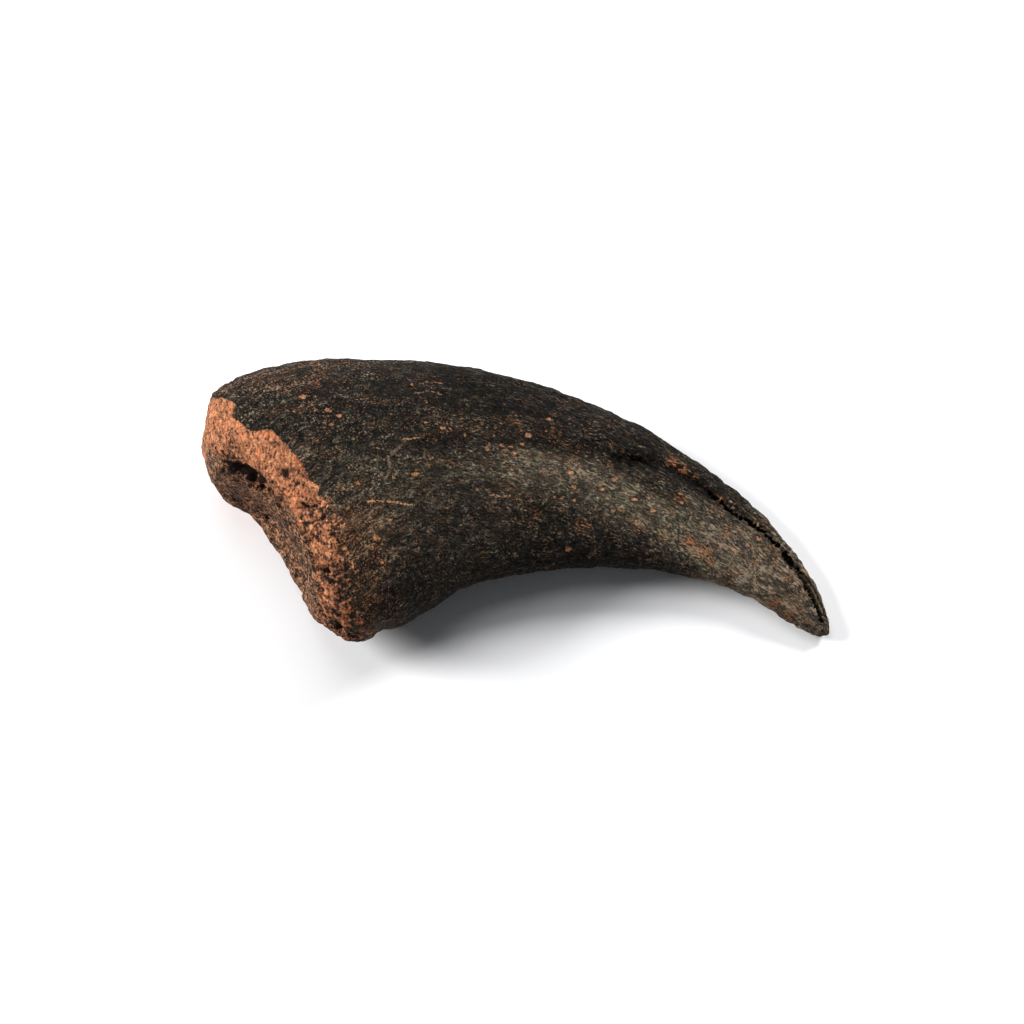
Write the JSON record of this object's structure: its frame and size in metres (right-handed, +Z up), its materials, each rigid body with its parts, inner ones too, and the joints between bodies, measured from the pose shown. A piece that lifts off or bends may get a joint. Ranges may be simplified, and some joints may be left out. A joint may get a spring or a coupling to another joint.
{
  "type": "dinosaur fossil claw",
  "caption": "Curved fossil claw bone with a hollow joint face, a blunt heel, grooved flanks and a blunt tip, lying on its flank.",
  "frame": {"origin": "middle of the bounding box's base, on the surface the claw lies on", "axes": "+X from the joint end towards the tip, +Y from the inner curve towards the back, +Z up through the upper flank"},
  "size_m": [0.1752, 0.0824, 0.0445],
  "materials": {
    "fossil_bone": "matte, near-black brown, worn to orange-brown at the joint end"
  },
  "bodies": {
    "root": {"claw": "fossil_bone"}
  },
  "joints": []
}
